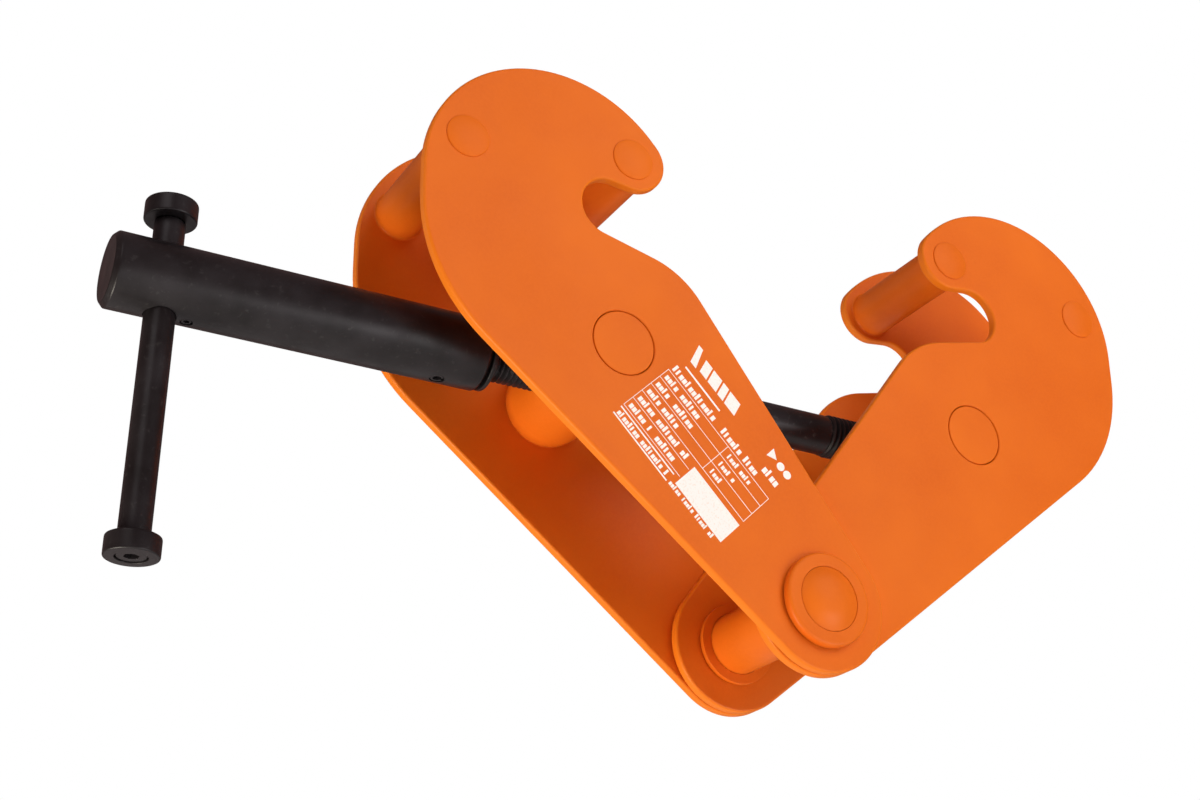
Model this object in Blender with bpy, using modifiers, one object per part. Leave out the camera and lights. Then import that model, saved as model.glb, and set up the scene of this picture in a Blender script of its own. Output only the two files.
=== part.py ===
"""Screw-adjusted beam clamp: two hook jaws on one load pin, worked by a left/right-hand spindle.

Frame: metres, +Z up, +X along the spindle away from the handle, -Y the side that carries the label.
The origin is the centre of the load pin.  The outer jaw (handle side, -X) is a pair of plates; the
inner jaw (+X) is a second pair that swings just inside the first.
"""
from math import acos, atan2, ceil, cos, pi, radians, sin

import bmesh
import bpy
from mathutils import Matrix, Vector

MM = 0.001
GAP = 0.3 * MM                    # running or fitting clearance between neighbouring pieces

# Jaws
PLATE_T = 4.0 * MM
OUTER_FACE = 32.0 * MM            # half the overall width over the outer plates
OUTER_INSIDE = OUTER_FACE - PLATE_T
INNER_FACE = OUTER_INSIDE - GAP
INNER_INSIDE = INNER_FACE - PLATE_T
ARM = 109.6 * MM                  # load pin to trunnion
JAW_ANGLE = radians(44.0)         # lean of that line from the vertical
EDGE_ROUND = 0.9 * MM
# Outline circles in the jaw's own plane (x outwards, y from the load pin to the trunnion):
# centre x, centre y, radius; a negative radius is a hollow.
OUTLINE = (
    (0.0 * MM, 0.0 * MM, 24.4 * MM),         # foot around the load pin
    (-18.5 * MM, 147.0 * MM, 62.0 * MM),     # outer shoulder
    (-17.0 * MM, 163.0 * MM, 50.0 * MM),     # crown of the hook
    (-54.6 * MM, 159.4 * MM, 12.3 * MM),     # tip
    (-32.3 * MM, 150.0 * MM, -11.0 * MM),    # pocket for the flange edge
    (-6.5 * MM, 109.5 * MM, 32.5 * MM),      # ledge under the flange
)
TIP_BAR = (-53.8 * MM, 159.6 * MM)
HEEL_BAR = (-1.1 * MM, 196.6 * MM)
BAR_R = 9.0 * MM
BAR_END_R = 7.0 * MM
BAR_CHAMFER = 0.8 * MM
BAR_DOME = 1.4 * MM               # crown of a bar's end above the plate's face
BAR_CROWN_FLAT = 0.6              # share of the end's radius inside the crown's first ring
BAR_CROWN_FALL = 0.25             # how far the crown has fallen there, as a share of its height

# Load pin and its rings
PIN_R = 11.2 * MM
PIN_HALF = 38.4 * MM
PIN_CROWN = (                     # share of the pin's radius, fall below the top of the crown
    (0.0, 0.0 * MM),
    (0.55, 0.25 * MM),
    (0.85, 1.0 * MM),
    (1.0, 2.4 * MM),
)
WASHER_R = 16.4 * MM
WASHER_T = 3.2 * MM
WASHER_CHAMFER = 1.2 * MM
SPACER_R = 14.8 * MM
SPACER_T = 2.0 * MM

# Trunnions
BARREL_R = 16.0 * MM
BARREL_CHAMFER = 1.0 * MM
JOURNAL_R = 11.6 * MM
JOURNAL_CHAMFER = 0.5 * MM
JOURNAL_SHY = 0.1 * MM            # the journals stop this far short of the plates' faces
TRUNNION_X = ARM * sin(JAW_ANGLE)
TRUNNION_Z = ARM * cos(JAW_ANGLE)

# Spindle
THREAD_R = 8.0 * MM
ROOT_R = 6.8 * MM
CORE_R = 6.0 * MM
PITCH = 2.0 * MM
SHANK_R = 7.4 * MM
THREAD_NEAR = 25.0 * MM           # thread starts this far from the middle, on both sides
THREAD_FAR = 112.0 * MM
THREAD_SIDES = 12
RUN_OUT = 1.0 * MM                # length of the cone between the shank and the thread's core
ENVELOPE_OVER = 0.5 * MM          # how far the cutting envelope stands over the thread
ROD_END = 119.0 * MM
ROD_CHAMFER = 1.0 * MM
SLEEVE_R = 12.5 * MM
SLEEVE_NEAR = -114.0 * MM
SLEEVE_FAR = -242.0 * MM
SLEEVE_CHAMFER = 1.6 * MM
SOCKET_DEPTH = 37.5 * MM
RING_CHAMFER = 0.3 * MM
RING_R = 12.0 * MM
RING_T = 1.5 * MM
STOP_RING_X = 111.5 * MM
STOP_PIN_X = 115.6 * MM
STOP_PIN_R = 1.8 * MM
STOP_PIN_HALF = 11.0 * MM
STOP_PIN_CHAMFER = 0.3 * MM
ROLL_PIN_X = -130.0 * MM
ROLL_PIN_R = 2.5 * MM
ROLL_PIN_BORE_R = 1.5 * MM
ROLL_PIN_HALF = 12.1 * MM
ROLL_PIN_CHAMFER = 0.4 * MM
SCREW_X = -215.5 * MM
SCREW_R = 2.0 * MM
SCREW_DEPTH = 8.0 * MM
SCREW_SHY = 0.2 * MM              # the grub screw stops this far short of each end of its hole
SCREW_CHAMFER = 0.4 * MM
SCREW_SOCKET_R = 1.1 * MM
SCREW_SOCKET_DEPTH = 2.0 * MM

# Tommy bar
TOMMY_X = -224.0 * MM
TOMMY_R = 5.0 * MM
TOMMY_CHAMFER = 0.5 * MM
TOMMY_TOP = 28.0 * MM             # top of the upper cap above the spindle's axis
TOMMY_LENGTH = 120.0 * MM
CAP_R = 8.5 * MM
CAP_T = 6.5 * MM
CAP_CHAMFER = 0.7 * MM
CAP_WELL_R = 5.0 * MM
CAP_WELL_DEPTH = 4.0 * MM
CAP_BOLT_R = 3.0 * MM
CAP_BOLT_LENGTH = 11.5 * MM
CAP_BOLT_SHY = 0.4 * MM           # the screw's head stops this far below the cap's face
CAP_BOLT_CHAMFER = 0.4 * MM
CAP_BOLT_SOCKET_R = 2.3 * MM
CAP_BOLT_SOCKET_DEPTH = 2.0 * MM

FINE_SIDES = 32                   # facets round a large turned piece or hole
SMALL_SIDES = 24
PIN_SIDES = 16
BAR_HOLE_SIDES = 20

for old in list(bpy.data.objects):
    bpy.data.objects.remove(old, do_unlink=True)


def collection(name):
    made = bpy.data.collections.new(name)
    bpy.context.scene.collection.children.link(made)
    return made


PARTS = collection("beam_clamp")
CUTTERS = collection("cutters")


def material(name, colour, roughness, metallic):
    made = bpy.data.materials.new(name)
    made.use_nodes = True
    shader = made.node_tree.nodes["Principled BSDF"]
    shader.inputs["Base Color"].default_value = (*colour, 1.0)
    shader.inputs["Roughness"].default_value = roughness
    shader.inputs["Metallic"].default_value = metallic
    return made


def painted(node):
    return material(node + "_paint", (0.78, 0.16, 0.02), 0.42, 0.0)


def blackened(node):
    return material(node + "_black", (0.018, 0.016, 0.019), 0.38, 0.6)


# ------------------------------------------------------------------ shape tools

def add(name, mesh, place, finish=None, parent=None, home=PARTS):
    """Puts a mesh in the scene; place is its frame in the world, or in its parent's frame."""
    made = bpy.data.objects.new(name, mesh)
    home.objects.link(made)
    made.parent = parent
    made.matrix_local = place
    if finish:
        mesh.materials.append(finish)
    return made


def smooth(obj, angle=35.0):
    obj.data.shade_smooth()
    obj.data.set_sharp_from_angle(angle=radians(angle))


def refresh():
    graph = bpy.context.evaluated_depsgraph_get()
    graph.update()
    return graph


def apply_modifiers(obj):
    """Swaps the object's mesh for the one its modifiers give, and shades it."""
    made = bpy.data.meshes.new_from_object(obj.evaluated_get(refresh()))
    obj.modifiers.clear()
    obj.data = made
    smooth(obj)


def mirrored(half):
    """A profile that is the same at both ends, from the points of its upper half."""
    return half + [(r, -h) for r, h in reversed(half)]


def turned(name, profile, place, finish=None, steps=FINE_SIDES, closed=False, parent=None, home=PARTS):
    """Lathe work about the local Z: profile is (radius, height) down the outer side."""
    mesh = bpy.data.meshes.new(name)
    points = [(r, 0.0, h) for r, h in profile]
    edges = [(i, i + 1) for i in range(len(points) - 1)]
    if closed:
        edges.append((len(points) - 1, 0))
    mesh.from_pydata(points, edges, [])
    obj = add(name, mesh, place, finish, parent, home)
    screw = obj.modifiers.new("turn", "SCREW")
    screw.steps = steps
    screw.render_steps = steps
    screw.use_merge_vertices = True
    screw.merge_threshold = 0.00001
    return obj


def ring(name, inner, outer, low, high, chamfer, place, finish):
    """A flat ring about the local Z from height low to high, its upper outer edge chamfered."""
    profile = [(inner, high), (outer - chamfer, high), (outer, high - chamfer), (outer, low), (inner, low)]
    apply_modifiers(turned(name, profile, place, finish, closed=True))


def hidden(obj):
    obj.hide_render = True
    obj.display_type = "WIRE"
    return obj


def cutter(name, radius, half, place, sides=FINE_SIDES, parent=None):
    """A straight round (or six-sided) cutter along the local Z."""
    mesh = bpy.data.meshes.new(name)
    shape = bmesh.new()
    bmesh.ops.create_cone(shape, cap_ends=True, segments=sides, radius1=radius, radius2=radius,
                          depth=2.0 * half)
    shape.to_mesh(mesh)
    shape.free()
    return hidden(add(name, mesh, place, None, parent, CUTTERS))


def cut(obj, other, operation="DIFFERENCE"):
    step = obj.modifiers.new(other.name, "BOOLEAN")
    step.operation = operation
    step.solver = "EXACT"
    step.object = other


def at(x, y, z, turn=Matrix.Identity(4)):
    return Matrix.Translation((x, y, z)) @ turn


UPRIGHT = Matrix.Identity(4)
TO_FRONT = Matrix.Rotation(pi / 2.0, 4, "X")      # local Z -> world -Y
TO_BACK = Matrix.Rotation(-pi / 2.0, 4, "X")      # local Z -> world +Y
TO_RIGHT = Matrix.Rotation(pi / 2.0, 4, "Y")      # local Z -> world +X
DOWN = Matrix.Rotation(pi, 4, "X")                # local Z -> world -Z


def belt(circles, step=radians(12.0)):
    """Points of the outline that runs around the circles by arcs and their common tangents."""
    count = len(circles)
    normals = []
    for i in range(count):
        x1, y1, r1 = circles[i]
        x2, y2, r2 = circles[(i + 1) % count]
        apart = Vector((x2 - x1, y2 - y1))
        normals.append(atan2(apart.y, apart.x) - acos((r1 - r2) / apart.length))
    points = []
    for i in range(count):
        x, y, r = circles[i]
        start = normals[i - 1]
        sweep = (normals[i] - start) % (2.0 * pi)
        if r < 0.0:
            sweep -= 2.0 * pi
        parts = max(2, ceil(abs(sweep) / step))
        for k in range(parts + 1):
            angle = start + sweep * k / parts
            points.append((x + r * cos(angle), y + r * sin(angle)))
    return points


# ------------------------------------------------------------------ jaws

def jaw_axis(name, side):
    """Empty on the load pin: local x outwards, y along the arm, z to the front (back on side -1)."""
    out = Vector((side * cos(JAW_ANGLE), 0.0, -sin(JAW_ANGLE)))
    arm = Vector((side * sin(JAW_ANGLE), 0.0, cos(JAW_ANGLE)))
    axis = bpy.data.objects.new(name + "_axis", None)
    PARTS.objects.link(axis)
    axis.matrix_world = Matrix((out, arm, out.cross(arm))).transposed().to_4x4()
    return axis


def plate_blank(name, axis, middle):
    """The plate's outline as a flat solid whose mid-plane is at height middle."""
    curve = bpy.data.curves.new(name, "CURVE")
    curve.dimensions = "2D"
    curve.fill_mode = "BOTH"
    curve.extrude = PLATE_T / 2.0
    points = belt(OUTLINE)
    line = curve.splines.new("POLY")
    line.points.add(len(points) - 1)
    for point, (x, y) in zip(line.points, points):
        point.co = (x, y, 0.0, 1.0)
    line.use_cyclic_u = True
    flat = bpy.data.objects.new(name + "_outline", curve)
    PARTS.objects.link(flat)
    flat.parent = axis
    flat.matrix_local = at(0.0, 0.0, middle)
    mesh = bpy.data.meshes.new_from_object(flat.evaluated_get(refresh()))
    place = flat.matrix_local.copy()
    bpy.data.objects.remove(flat, do_unlink=True)
    shape = bmesh.new()
    shape.from_mesh(mesh)
    bmesh.ops.remove_doubles(shape, verts=shape.verts, dist=0.00001)
    bmesh.ops.dissolve_limit(shape, angle_limit=radians(1.0), verts=shape.verts, edges=shape.edges)
    shape.to_mesh(mesh)
    shape.free()
    return add(name, mesh, place, painted(name), axis)


def jaw_plate(name, axis, middle):
    """One profile-cut plate with rounded edges and its four holes."""
    plate = plate_blank(name, axis, middle)
    rounding = plate.modifiers.new("rounded_edges", "BEVEL")
    rounding.width = EDGE_ROUND
    rounding.segments = 1
    rounding.limit_method = "ANGLE"
    rounding.angle_limit = radians(50.0)
    holes = (
        ("pin", (0.0, 0.0), PIN_R, FINE_SIDES),
        ("trunnion", (0.0, ARM), JOURNAL_R, FINE_SIDES),
        ("tip", TIP_BAR, BAR_END_R, BAR_HOLE_SIDES),
        ("heel", HEEL_BAR, BAR_END_R, BAR_HOLE_SIDES),
    )
    for label, (x, y), radius, sides in holes:
        hole = cutter(name + "_cut_" + label, radius + GAP, PLATE_T, at(x, y, middle), sides, axis)
        cut(plate, hole)
    apply_modifiers(plate)


def cross_bar(name, axis, centre, inside, face):
    """Shouldered spacer bar: full size between the plates, reduced and domed through them."""
    shoulder = inside - GAP
    crown = face + BAR_DOME
    half = [(0.0, crown), (BAR_CROWN_FLAT * BAR_END_R, crown - BAR_CROWN_FALL * BAR_DOME),
            (BAR_END_R, face), (BAR_END_R, shoulder), (BAR_R - BAR_CHAMFER, shoulder),
            (BAR_R, shoulder - BAR_CHAMFER)]
    bar = turned(name, mirrored(half), at(*centre, 0.0), painted(name), SMALL_SIDES, parent=axis)
    apply_modifiers(bar)


def jaw(name, side, inside, face):
    axis = jaw_axis(name, side)
    front = side * (inside + face) / 2.0
    jaw_plate(name + "_front_plate", axis, front)
    jaw_plate(name + "_back_plate", axis, -front)
    cross_bar(name + "_tip_bar", axis, TIP_BAR, inside, face)
    cross_bar(name + "_heel_bar", axis, HEEL_BAR, inside, face)


jaw("outer_jaw", -1.0, OUTER_INSIDE, OUTER_FACE)
jaw("inner_jaw", 1.0, INNER_INSIDE, INNER_FACE)


# ------------------------------------------------------------------ load pin

def load_pin():
    """Solid pin through all four plates, its ends closed over the side washers."""
    half = [(share * PIN_R, PIN_HALF - fall) for share, fall in PIN_CROWN]
    apply_modifiers(turned("load_pin", mirrored(half), TO_BACK, painted("load_pin")))


def pin_rings():
    for end, turn in (("front", TO_FRONT), ("back", TO_BACK)):
        washer = "pivot_washer_" + end
        low = OUTER_FACE + GAP
        ring(washer, PIN_R + GAP, WASHER_R, low, low + WASHER_T, WASHER_CHAMFER, turn, painted(washer))
        spacer = "spacer_ring_" + end
        high = INNER_INSIDE - GAP
        ring(spacer, PIN_R + GAP, SPACER_R, high - SPACER_T, high, 0.0, turn, painted(spacer))


load_pin()
pin_rings()


# ------------------------------------------------------------------ trunnions

def trunnion(name, side, inside, face):
    """Barrel nut between a jaw's plates, turning in them on its reduced ends."""
    shoulder = inside - GAP
    end = face - JOURNAL_SHY
    half = [(0.0, end), (JOURNAL_R - JOURNAL_CHAMFER, end), (JOURNAL_R, end - JOURNAL_CHAMFER),
            (JOURNAL_R, shoulder), (BARREL_R - BARREL_CHAMFER, shoulder),
            (BARREL_R, shoulder - BARREL_CHAMFER)]
    place = at(side * TRUNNION_X, 0.0, TRUNNION_Z, TO_BACK)
    nut = turned(name, mirrored(half), place, painted(name))
    bore = cutter(name + "_thread_bore", THREAD_R + GAP, 2.0 * BARREL_R,
                  at(side * TRUNNION_X, 0.0, TRUNNION_Z, TO_RIGHT))
    cut(nut, bore)
    apply_modifiers(nut)


trunnion("outer_trunnion", -1.0, OUTER_INSIDE, OUTER_FACE)
trunnion("inner_trunnion", 1.0, INNER_INSIDE, INNER_FACE)


# ------------------------------------------------------------------ spindle

def on_axis(x, turn=TO_RIGHT):
    return at(x, 0.0, TRUNNION_Z, turn)


def thread(name, start, hand):
    """Helical ridge of one hand from start to start + its length, its ends run out by an envelope."""
    length = THREAD_FAR - THREAD_NEAR
    turns = ceil(length / PITCH) + 2
    mesh = bpy.data.meshes.new(name)
    rise = hand * PITCH
    mesh.from_pydata([(ROOT_R, 0.0, 0.0), (THREAD_R, 0.0, rise / 2.0), (ROOT_R, 0.0, rise)],
                     [(0, 1), (1, 2)], [])
    low = start - PITCH if hand > 0.0 else start + length + PITCH
    obj = add(name, mesh, on_axis(low), home=CUTTERS)
    screw = obj.modifiers.new("helix", "SCREW")
    screw.steps = THREAD_SIDES
    screw.render_steps = THREAD_SIDES
    screw.iterations = turns
    screw.screw_offset = rise
    shape = bmesh.new()
    shape.from_mesh(bpy.data.meshes.new_from_object(obj.evaluated_get(refresh())))
    obj.modifiers.clear()
    bmesh.ops.remove_doubles(shape, verts=shape.verts, dist=0.00005)
    bmesh.ops.holes_fill(shape, edges=[edge for edge in shape.edges if edge.is_boundary])
    bmesh.ops.recalc_face_normals(shape, faces=shape.faces)
    shape.to_mesh(mesh)
    shape.free()
    over = THREAD_R + ENVELOPE_OVER
    run_out = over - ROOT_R
    profile = [(0.0, start + length), (ROOT_R, start + length), (over, start + length - run_out),
               (over, start + run_out), (ROOT_R, start), (0.0, start)]
    envelope = hidden(turned(name + "_envelope", profile, on_axis(0.0), home=CUTTERS))
    cut(obj, envelope, "INTERSECT")
    return hidden(obj)


def spindle_rod():
    """Rod with opposite threads either side of its middle and a plain shank in the sleeve."""
    tail = SLEEVE_NEAR - SOCKET_DEPTH + GAP
    shank = THREAD_FAR - RUN_OUT
    core = shank - RUN_OUT
    middle = THREAD_NEAR + RUN_OUT
    start = middle + RUN_OUT
    profile = [(0.0, ROD_END), (SHANK_R - ROD_CHAMFER, ROD_END), (SHANK_R, ROD_END - ROD_CHAMFER),
               (SHANK_R, shank), (CORE_R, core), (CORE_R, start), (SHANK_R, middle),
               (SHANK_R, -middle), (CORE_R, -start), (CORE_R, -core), (SHANK_R, -shank),
               (SHANK_R, tail + ROD_CHAMFER), (SHANK_R - ROD_CHAMFER, tail), (0.0, tail)]
    rod = turned("spindle_rod", profile, on_axis(0.0), blackened("spindle_rod"))
    cut(rod, thread("right_hand_thread", -THREAD_FAR, 1.0), "UNION")
    cut(rod, thread("left_hand_thread", THREAD_NEAR, -1.0), "UNION")
    for label, radius, x in (("roll_pin", ROLL_PIN_R, ROLL_PIN_X), ("stop_pin", STOP_PIN_R, STOP_PIN_X)):
        place = on_axis(x, UPRIGHT)
        cut(rod, cutter("rod_cut_" + label, radius + GAP, 2.0 * SHANK_R, place, PIN_SIDES))
    apply_modifiers(rod)


def sleeve():
    """Handle sleeve: solid at the tommy bar, bored at the other end for the rod's shank."""
    bore = SHANK_R + GAP
    bottom = SLEEVE_NEAR - SOCKET_DEPTH
    rim = SLEEVE_R - SLEEVE_CHAMFER
    profile = [(0.0, bottom), (bore, bottom), (bore, SLEEVE_NEAR), (rim, SLEEVE_NEAR),
               (SLEEVE_R, SLEEVE_NEAR - SLEEVE_CHAMFER), (SLEEVE_R, SLEEVE_FAR + SLEEVE_CHAMFER),
               (rim, SLEEVE_FAR), (0.0, SLEEVE_FAR)]
    body = turned("spindle_sleeve", profile, on_axis(0.0), blackened("spindle_sleeve"))
    holes = (
        ("bar", TOMMY_R, 2.0 * SLEEVE_R, on_axis(TOMMY_X, UPRIGHT), SMALL_SIDES),
        ("roll_pin", ROLL_PIN_R, 2.0 * SLEEVE_R, on_axis(ROLL_PIN_X, UPRIGHT), PIN_SIDES),
        ("screw", SCREW_R, SCREW_DEPTH, at(SCREW_X, 0.0, TRUNNION_Z - SLEEVE_R), PIN_SIDES),
    )
    for label, radius, half, place, sides in holes:
        cut(body, cutter("sleeve_cut_" + label, radius + GAP, half, place, sides))
    apply_modifiers(body)


def round_pin(name, radius, half, chamfer, place):
    end = [(0.0, half), (radius - chamfer, half), (radius, half - chamfer)]
    return turned(name, mirrored(end), place, blackened(name), PIN_SIDES)


def spindle_fittings():
    """Roll pin and grub screw in the sleeve, and the rings and stop pin on the rod."""
    place = on_axis(ROLL_PIN_X, UPRIGHT)
    roll = round_pin("roll_pin", ROLL_PIN_R, ROLL_PIN_HALF, ROLL_PIN_CHAMFER, place)
    cut(roll, cutter("roll_pin_bore", ROLL_PIN_BORE_R, 2.0 * ROLL_PIN_HALF, place, PIN_SIDES))
    apply_modifiers(roll)
    half = (SCREW_DEPTH - GAP) / 2.0 - SCREW_SHY
    middle = TRUNNION_Z - SLEEVE_R + SCREW_DEPTH / 2.0
    screw = round_pin("grub_screw", SCREW_R, half, SCREW_CHAMFER, at(SCREW_X, 0.0, middle))
    mouth = at(SCREW_X, 0.0, middle - half)
    cut(screw, cutter("grub_screw_socket", SCREW_SOCKET_R, SCREW_SOCKET_DEPTH, mouth, 6))
    apply_modifiers(screw)
    for name, x in (("thrust_ring", SLEEVE_NEAR + GAP), ("stop_ring", STOP_RING_X)):
        ring(name, THREAD_R + GAP, RING_R, 0.0, RING_T, RING_CHAMFER, on_axis(x), blackened(name))
    place = on_axis(STOP_PIN_X, UPRIGHT)
    apply_modifiers(round_pin("stop_pin", STOP_PIN_R, STOP_PIN_HALF, STOP_PIN_CHAMFER, place))


spindle_rod()
sleeve()
spindle_fittings()


# ------------------------------------------------------------------ tommy bar

def tommy_bar():
    """Sliding bar through the sleeve with a bolted-on cap at each end."""
    middle = TRUNNION_Z + TOMMY_TOP - TOMMY_LENGTH / 2.0
    bar_half = TOMMY_LENGTH / 2.0 - CAP_T - GAP
    bore = CAP_BOLT_R + GAP
    bottom = bar_half - (CAP_BOLT_LENGTH - CAP_T + CAP_WELL_DEPTH) - GAP
    end = [(0.0, bottom), (bore, bottom), (bore, bar_half), (TOMMY_R - TOMMY_CHAMFER, bar_half),
           (TOMMY_R, bar_half - TOMMY_CHAMFER)]
    place = at(TOMMY_X, 0.0, middle)
    apply_modifiers(turned("tommy_bar", mirrored(end), place, blackened("tommy_bar"), SMALL_SIDES))
    for end, turn in (("upper", UPRIGHT), ("lower", DOWN)):
        tommy_cap(end, at(TOMMY_X, 0.0, middle, turn))


def tommy_cap(end, place):
    """Disc with a counterbored hole and the socket screw that holds it; local z points outwards."""
    low = TOMMY_LENGTH / 2.0 - CAP_T
    high = TOMMY_LENGTH / 2.0
    well = high - CAP_WELL_DEPTH
    rim = CAP_R - CAP_CHAMFER
    bore = CAP_BOLT_R + GAP
    name = "tommy_cap_" + end
    profile = [(CAP_WELL_R, high), (rim, high), (CAP_R, high - CAP_CHAMFER), (CAP_R, low + CAP_CHAMFER),
               (rim, low), (bore, low), (bore, well), (CAP_WELL_R, well)]
    apply_modifiers(turned(name, profile, place, blackened(name), closed=True))
    name = "cap_screw_" + end
    seat = well + GAP
    top = high - CAP_BOLT_SHY
    head = CAP_WELL_R - GAP
    tip = seat - CAP_BOLT_LENGTH + GAP
    profile = [(0.0, top), (head - CAP_BOLT_CHAMFER, top), (head, top - CAP_BOLT_CHAMFER),
               (head, seat), (CAP_BOLT_R, seat), (CAP_BOLT_R, tip), (0.0, tip)]
    bolt = turned(name, profile, place, blackened(name), SMALL_SIDES)
    mouth = place @ at(0.0, 0.0, top)
    cut(bolt, cutter(name + "_socket", CAP_BOLT_SOCKET_R, CAP_BOLT_SOCKET_DEPTH, mouth, 6))
    apply_modifiers(bolt)


tommy_bar()
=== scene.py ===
from math import acos, atan2, ceil, cos, hypot, pi, radians, sin

import bmesh
import bpy
from mathutils import Matrix, Vector


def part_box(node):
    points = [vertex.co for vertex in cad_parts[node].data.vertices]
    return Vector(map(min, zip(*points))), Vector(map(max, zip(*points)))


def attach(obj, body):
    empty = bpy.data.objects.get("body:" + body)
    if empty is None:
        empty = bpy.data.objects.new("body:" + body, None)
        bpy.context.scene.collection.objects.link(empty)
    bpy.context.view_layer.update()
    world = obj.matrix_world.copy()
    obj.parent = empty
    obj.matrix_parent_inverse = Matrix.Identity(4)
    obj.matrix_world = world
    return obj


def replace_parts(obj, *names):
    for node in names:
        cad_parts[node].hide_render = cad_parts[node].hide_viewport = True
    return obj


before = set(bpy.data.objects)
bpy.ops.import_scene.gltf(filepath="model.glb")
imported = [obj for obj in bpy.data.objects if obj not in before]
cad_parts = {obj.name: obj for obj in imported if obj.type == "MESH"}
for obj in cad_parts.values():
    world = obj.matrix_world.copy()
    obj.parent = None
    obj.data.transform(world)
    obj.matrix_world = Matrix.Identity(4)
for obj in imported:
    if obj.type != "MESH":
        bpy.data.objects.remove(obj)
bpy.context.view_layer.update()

MM = 0.001


# ------------------------------------------------------------------ side plates
# Four hook-shaped plates, profile-cut from 4 mm steel with their edges dressed round.  The outer
# pair runs just outside the inner pair on the load pin.  The whole clamp is powder coated bright
# orange once it is together, so the coat rolls over every edge and pools in every seam.

# Outline circles in a jaw's own plane (x outwards, y from the load pin to the trunnion):
# centre x, centre y, radius; a negative radius is a hollow.
OUTLINE = (
    (0.0 * MM, 0.0 * MM, 24.4 * MM),         # foot around the load pin
    (-18.5 * MM, 147.0 * MM, 62.0 * MM),     # outer shoulder
    (-17.0 * MM, 163.0 * MM, 50.0 * MM),     # crown of the hook
    (-54.6 * MM, 159.4 * MM, 12.3 * MM),     # tip
    (-32.3 * MM, 150.0 * MM, -11.0 * MM),    # pocket for the flange edge
    (-6.5 * MM, 109.5 * MM, 32.5 * MM),      # ledge under the flange
)
OUTLINE_STEP = radians(3.0)
TIP_BAR = (-53.8 * MM, 159.6 * MM)
HEEL_BAR = (-1.1 * MM, 196.6 * MM)
EDGE_ROUND = 1.0 * MM
EDGE_STEPS = 5
HOLE_MOUTH = 0.3 * MM
HOLE_SIDES = 72
CRISP_CORNER = radians(38.0)      # edges sharper than this stay crisp
PIN_HOLE_R = 11.5 * MM
TRUNNION_HOLE_R = 11.9 * MM
BAR_HOLE_R = 7.3 * MM

ORANGE_DEEP = (0.700, 0.126, 0.006)
ORANGE_BRIGHT = (0.780, 0.158, 0.009)
# painted highlight: the colour that the rounded plate edges are tinted towards, lighter and yellower
# as if catching the light
ORANGE_EDGE_HIGHLIGHT = (0.880, 0.235, 0.012)
COAT_SPECULAR = 0.16
COAT_GLOSS = 0.05
COAT_GLOSS_ROUGHNESS = 0.22
PEEL = (620.0, 0.022 * MM)        # the coat's orange peel: waves per metre, depth
SAG = (110.0, 0.10 * MM)          # its slow waviness
CUT_LINES = (1800.0, 0.030 * MM)  # the cutter's lines that show through it on the plates' edges


def middle_of(node):
    low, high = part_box(node)
    return (low + high) / 2.0


INNER_TRUNNION = middle_of("inner_trunnion")
ARM = hypot(INNER_TRUNNION.x, INNER_TRUNNION.z)
LEAN = atan2(INNER_TRUNNION.x, INNER_TRUNNION.z)


def jaw_frame(side):
    """A jaw's place on the load pin: local x outwards, y along the arm; side -1 has the handle."""
    out = Vector((side * cos(LEAN), 0.0, -sin(LEAN)))
    arm = Vector((side * sin(LEAN), 0.0, cos(LEAN)))
    return Matrix((out, arm, out.cross(arm))).transposed().to_4x4()


def node(tree, kind, **values):
    """A shader node with some of its input sockets set by name."""
    made = tree.nodes.new("ShaderNode" + kind)
    for name, value in values.items():
        made.inputs[name.replace("_", " ")].default_value = value
    return made


def grain(tree, scale, detail=2.0, stretch=(1.0, 1.0, 1.0)):
    """Noise fixed to the piece: scale is in waves per metre, before the stretch of each axis."""
    spot = node(tree, "TexCoord")
    fit = node(tree, "Mapping", Scale=stretch)
    noise = node(tree, "TexNoise", Scale=scale, Detail=detail)
    tree.links.new(spot.outputs["Object"], fit.inputs["Vector"])
    tree.links.new(fit.outputs["Vector"], noise.inputs["Vector"])
    return noise.outputs["Fac"]


def between(tree, value, low, high, to_low, to_high):
    """The value's range from low to high, carried over to the range to_low to to_high."""
    spread = node(tree, "MapRange", From_Min=low, From_Max=high, To_Min=to_low, To_Max=to_high)
    tree.links.new(value, spread.inputs["Value"])
    return spread.outputs["Result"]


def times(tree, first, second):
    """The product of two values; each is a number or a socket."""
    product = node(tree, "Math")
    product.operation = "MULTIPLY"
    for socket, value in zip(product.inputs, (first, second)):
        if isinstance(value, float):
            socket.default_value = value
        else:
            tree.links.new(value, socket)
    return product.outputs["Value"]


def tinted(tree, value, first, second):
    """A colour from first to second as the value goes from 0 to 1; each is a colour or a socket."""
    mix = node(tree, "Mix")
    mix.data_type = "RGBA"
    colours = [socket for socket in mix.inputs if socket.type == "RGBA"]
    tree.links.new(value, mix.inputs["Factor"])
    for socket, colour in zip(colours, (first, second)):
        if isinstance(colour, tuple):
            socket.default_value = (*colour, 1.0)
        else:
            tree.links.new(colour, socket)
    return next(socket for socket in mix.outputs if socket.type == "RGBA")


def bumped(tree, height, depth, under=None):
    """A surface raised by the height times the depth, over the relief under it."""
    bump = node(tree, "Bump", Strength=1.0, Distance=depth)
    tree.links.new(height, bump.inputs["Height"])
    if under:
        tree.links.new(under, bump.inputs["Normal"])
    return bump.outputs["Normal"]


def new_finish(name):
    """A new material, its nodes, and the inputs of its shader."""
    made = bpy.data.materials.new(name)
    made.use_nodes = True
    return made, made.node_tree, made.node_tree.nodes["Principled BSDF"].inputs


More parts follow.
